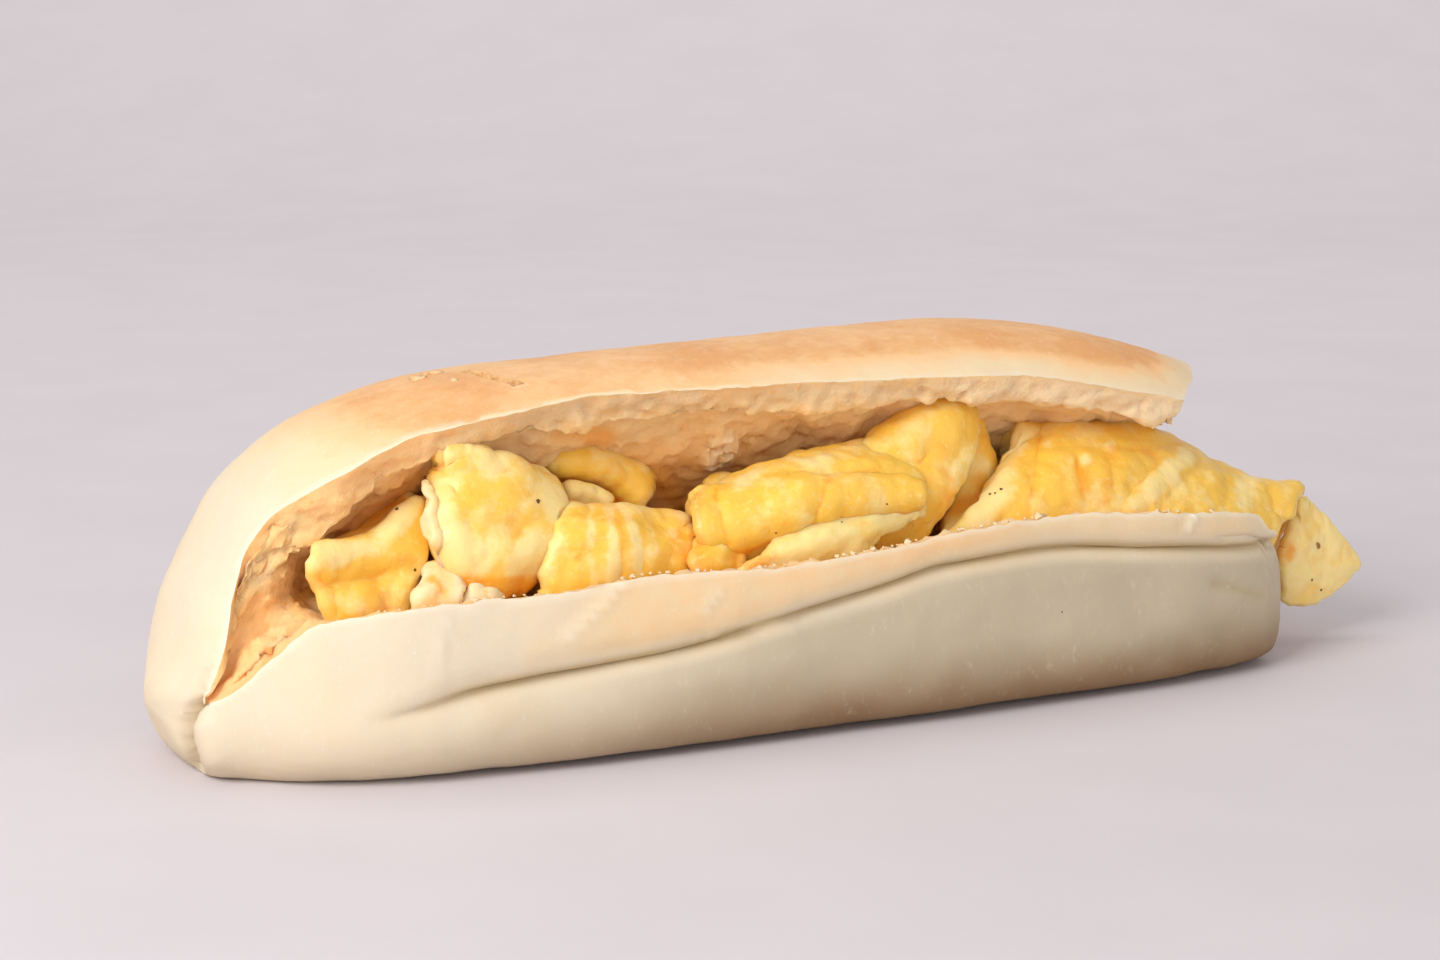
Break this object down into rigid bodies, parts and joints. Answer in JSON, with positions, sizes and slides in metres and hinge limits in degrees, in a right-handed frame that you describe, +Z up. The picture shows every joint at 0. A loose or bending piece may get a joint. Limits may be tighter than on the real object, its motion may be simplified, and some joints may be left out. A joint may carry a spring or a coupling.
{
  "type": "breakfast sandwich",
  "caption": "Soft long bread roll split along its front and filled with folded, scrambled egg and a few pale shreds.",
  "frame": {"origin": "middle of the underside, at the centre of the whole object's footprint, on the surface it rests on", "axes": "+X along the roll towards the open end where egg hangs out, -Y towards the open front, +Z up"},
  "size_m": [0.2114, 0.0646, 0.058],
  "materials": {
    "bread_crust": "soft matte baked crust, golden on the crown and cream on the sides, with pale torn crumb inside",
    "egg": "moist cooked egg with a soft sheen, yellow with paler and more orange patches",
    "pale_shred": "moist, slightly translucent cream"
  },
  "bodies": {
    "root": {"bread_roll": "bread_crust", "egg_roll_long": "egg", "egg_lobe_tall": "egg", "egg_lobe_behind": "egg", "egg_sheet_right": "egg", "egg_fold_peak": "egg", "egg_fold_left": "egg", "egg_curl_back": "egg", "egg_scramble_middle": "egg", "egg_strip_middle": "egg", "egg_flap_low": "egg", "egg_bit_low": "egg", "egg_sliver_back": "egg", "egg_tail_flap": "egg", "pale_shred_left": "pale_shred", "pale_shred_middle": "pale_shred", "pale_shred_upright": "pale_shred"}
  },
  "joints": []
}
